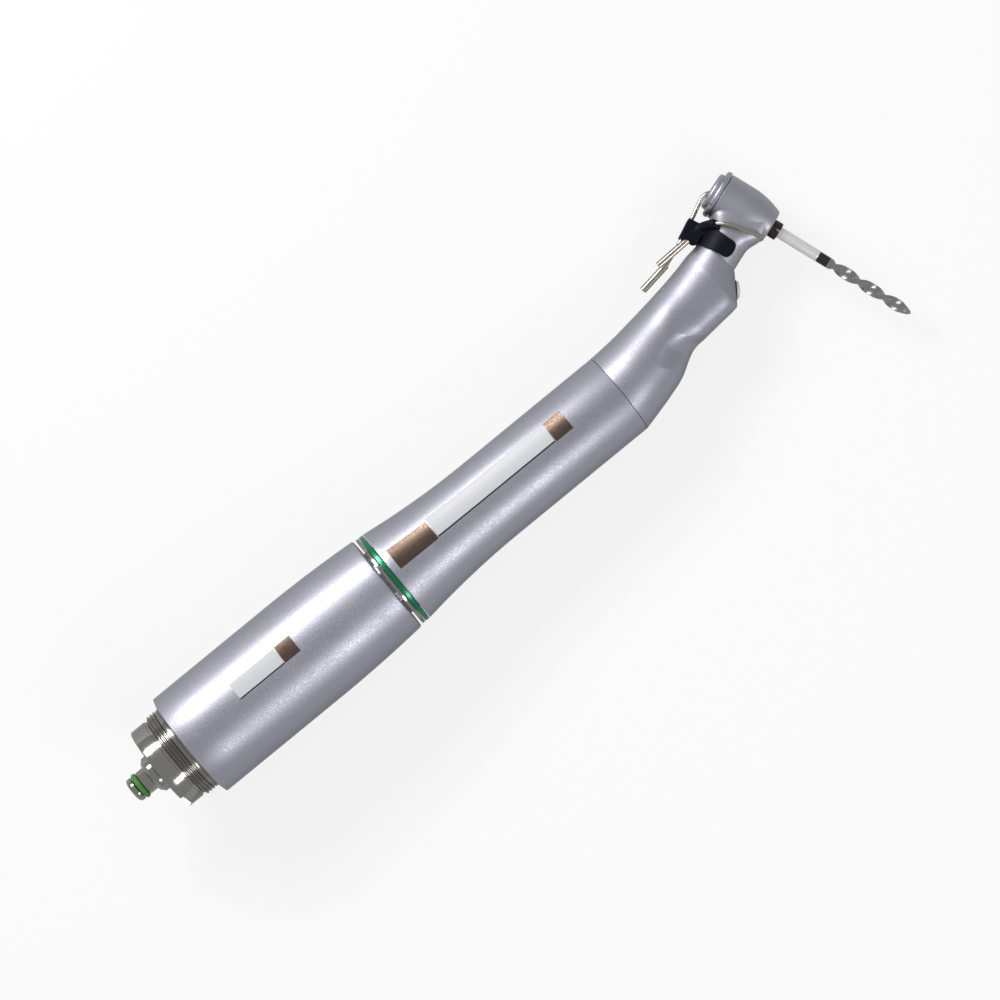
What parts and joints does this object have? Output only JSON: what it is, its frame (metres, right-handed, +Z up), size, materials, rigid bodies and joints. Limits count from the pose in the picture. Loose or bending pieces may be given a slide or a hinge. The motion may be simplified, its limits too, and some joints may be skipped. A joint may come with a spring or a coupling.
{
  "type": "dental contra-angle handpiece",
  "caption": "Geared contra-angle dental handpiece on an electric micromotor, with push-button head, clip-on spray tubes, ratio ring, light lens and a twist drill in the chuck.",
  "frame": {"origin": "middle of the bottom of the object's box, on the table it lies on", "axes": "+X forward along the motor towards the head, +Y towards the push-button side, +Z up from the table, which is the side that carries the outer spray tube"},
  "size_m": [0.1852, 0.0464, 0.0276],
  "materials": {
    "blasted_steel": "bead-blasted stainless steel, satin",
    "head_steel": "fine satin stainless steel",
    "polished_steel": "polished stainless steel",
    "plain_steel": "machined steel, oiled",
    "hardened_steel": "hardened steel",
    "blackened_steel": "blackened steel",
    "drill_steel": "ground and polished drill steel",
    "tube_steel": "drawn stainless tube, brown-grey",
    "machined_aluminium": "turned aluminium",
    "bearing_bronze": "sintered bronze",
    "varnished_copper": "varnished copper winding",
    "gold_plating": "gold-plated contact",
    "green_anodising": "green anodised ring",
    "green_rubber": "green rubber",
    "black_polymer": "black polymer, satin",
    "clear_glass": "clear light glass"
  },
  "bodies": {
    "handpiece": {"head_housing": "head_steel", "gooseneck_sheath": "blasted_steel", "handle_sleeve": "blasted_steel", "retaining_ring": "polished_steel", "green_ratio_ring": "green_anodising", "coupling_sleeve": "plain_steel", "gearbox_housing": "machined_aluminium", "planetary_ring_gear": "plain_steel", "bend_bush_rear": "bearing_bronze", "bend_bush_front": "bearing_bronze", "neck_bush": "bearing_bronze", "head_upper_bearing_outer_race": "plain_steel", "head_lower_bearing_outer_race": "plain_steel", "head_cap_ring": "head_steel", "light_guide_rod": "clear_glass", "light_lens": "clear_glass", "button_return_spring": "plain_steel"},
    "motor": {"motor_casing": "blasted_steel", "threaded_rear_collar": "blasted_steel", "keyed_connector_skirt": "polished_steel", "contact_insulator": "black_polymer", "contact_pin_1": "gold_plating", "contact_pin_2": "gold_plating", "contact_pin_3": "gold_plating", "air_nipple": "polished_steel", "nipple_o_ring": "green_rubber", "motor_rear_plate": "machined_aluminium", "motor_front_bearing": "plain_steel", "motor_rear_bearing": "plain_steel", "stator_core": "plain_steel", "stator_winding": "varnished_copper", "motor_nose": "blasted_steel", "nose_o_ring_rear": "black_polymer", "nose_o_ring_middle": "black_polymer", "nose_o_ring_front": "black_polymer", "nose_latch_spring": "plain_steel", "led_lamp": "clear_glass"},
    "rotor": {"motor_shaft": "plain_steel", "rotor_magnet": "hardened_steel", "input_shaft_with_sun_gear": "plain_steel"},
    "first_carrier": {"first_carrier_with_sun_gear": "plain_steel"},
    "planet_1a": {"planet_gear_1a": "plain_steel"},
    "planet_1b": {"planet_gear_1b": "plain_steel"},
    "planet_1c": {"planet_gear_1c": "plain_steel"},
    "output_carrier": {"output_carrier_with_bend_gear": "plain_steel"},
    "planet_2a": {"planet_gear_2a": "plain_steel"},
    "planet_2b": {"planet_gear_2b": "plain_steel"},
    "planet_2c": {"planet_gear_2c": "plain_steel"},
    "neck_shaft": {"neck_shaft": "plain_steel"},
    "spindle": {"spindle_tube": "plain_steel", "drill_latch": "hardened_steel", "chuck_collar": "blackened_steel", "head_upper_bearing_inner_race_with_balls": "plain_steel", "head_lower_bearing_inner_race_with_balls": "plain_steel"},
    "drill": {"twist_drill": "drill_steel"},
    "button": {"push_button": "head_steel"},
    "nozzle": {"nozzle_clip": "black_polymer", "spray_tube": "tube_steel", "irrigation_tube": "tube_steel"}
  },
  "joints": [
    {"name": "motor_swivel", "type": "hinge", "parent": "handpiece", "child": "motor", "pos_m": [-0.02554, 0.00184, 0.01267], "axis": [0.9984, 0, -0.0572], "continuous": true},
    {"name": "rotor_spin", "type": "hinge", "parent": "handpiece", "child": "rotor", "pos_m": [-0.06767, 0.00184, 0.01509], "axis": [0.9984, 0, -0.0572], "continuous": true},
    {"name": "first_carrier_spin", "type": "hinge", "parent": "handpiece", "child": "first_carrier", "pos_m": [0.00661, 0.00184, 0.01083], "axis": [0.9984, 0, -0.0572], "continuous": true},
    {"name": "output_carrier_spin", "type": "hinge", "parent": "handpiece", "child": "output_carrier", "pos_m": [0.013, 0.00184, 0.01046], "axis": [0.9984, 0, -0.0572], "continuous": true},
    {"name": "neck_shaft_spin", "type": "hinge", "parent": "handpiece", "child": "neck_shaft", "pos_m": [0.05223, 0.0051, 0.00821], "axis": [0.944, 0.3256, -0.0541], "continuous": true},
    {"name": "spindle_spin", "type": "hinge", "parent": "handpiece", "child": "spindle", "pos_m": [0.07895, 0.01431, 0.00668], "axis": [-0.325, 0.9455, 0.0186], "continuous": true},
    {"name": "planet_1a_spin", "type": "hinge", "parent": "first_carrier", "child": "planet_1a", "pos_m": [0.00222, 0.00454, 0.01108], "axis": [0.9984, 0, -0.0572], "continuous": true},
    {"name": "planet_1b_spin", "type": "hinge", "parent": "first_carrier", "child": "planet_1b", "pos_m": [0.00235, 0.00049, 0.01341], "axis": [0.9984, 0, -0.0572], "continuous": true},
    {"name": "planet_1c_spin", "type": "hinge", "parent": "first_carrier", "child": "planet_1c", "pos_m": [0.00208, 0.00049, 0.00875], "axis": [0.9984, 0, -0.0572], "continuous": true},
    {"name": "planet_2a_spin", "type": "hinge", "parent": "output_carrier", "child": "planet_2a", "pos_m": [0.00861, 0.00454, 0.01071], "axis": [0.9984, 0, -0.0572], "continuous": true},
    {"name": "planet_2b_spin", "type": "hinge", "parent": "output_carrier", "child": "planet_2b", "pos_m": [0.00874, 0.00049, 0.01305], "axis": [0.9984, 0, -0.0572], "continuous": true},
    {"name": "planet_2c_spin", "type": "hinge", "parent": "output_carrier", "child": "planet_2c", "pos_m": [0.00847, 0.00049, 0.00838], "axis": [0.9984, 0, -0.0572], "continuous": true},
    {"name": "drill_pull", "type": "slide", "parent": "spindle", "child": "drill", "axis": [0.325, -0.9455, -0.0186], "range_m": [0, 0.016]},
    {"name": "button_press", "type": "slide", "parent": "handpiece", "child": "button", "axis": [0.325, -0.9455, -0.0186], "range_m": [0, 0.0008], "stiffness_N_per_m": 100, "springref_m": -0.0005, "deforming": ["button_return_spring"]},
    {"name": "nozzle_lift", "type": "slide", "parent": "handpiece", "child": "nozzle", "axis": [-0.325, 0.9455, 0.0186], "range_m": [0, 0.02]}
  ],
  "couplings": [
    {"joint": "first_carrier_spin", "follows": "rotor_spin", "ratio": 0.22222},
    {"joint": "output_carrier_spin", "follows": "rotor_spin", "ratio": 0.049383},
    {"joint": "neck_shaft_spin", "follows": "rotor_spin", "ratio": 0.049383},
    {"joint": "spindle_spin", "follows": "rotor_spin", "ratio": 0.049383},
    {"joint": "planet_1a_spin", "follows": "rotor_spin", "ratio": -0.62222},
    {"joint": "planet_1b_spin", "follows": "rotor_spin", "ratio": -0.62222},
    {"joint": "planet_1c_spin", "follows": "rotor_spin", "ratio": -0.62222},
    {"joint": "planet_2a_spin", "follows": "rotor_spin", "ratio": -0.13827},
    {"joint": "planet_2b_spin", "follows": "rotor_spin", "ratio": -0.13827},
    {"joint": "planet_2c_spin", "follows": "rotor_spin", "ratio": -0.13827}
  ]
}
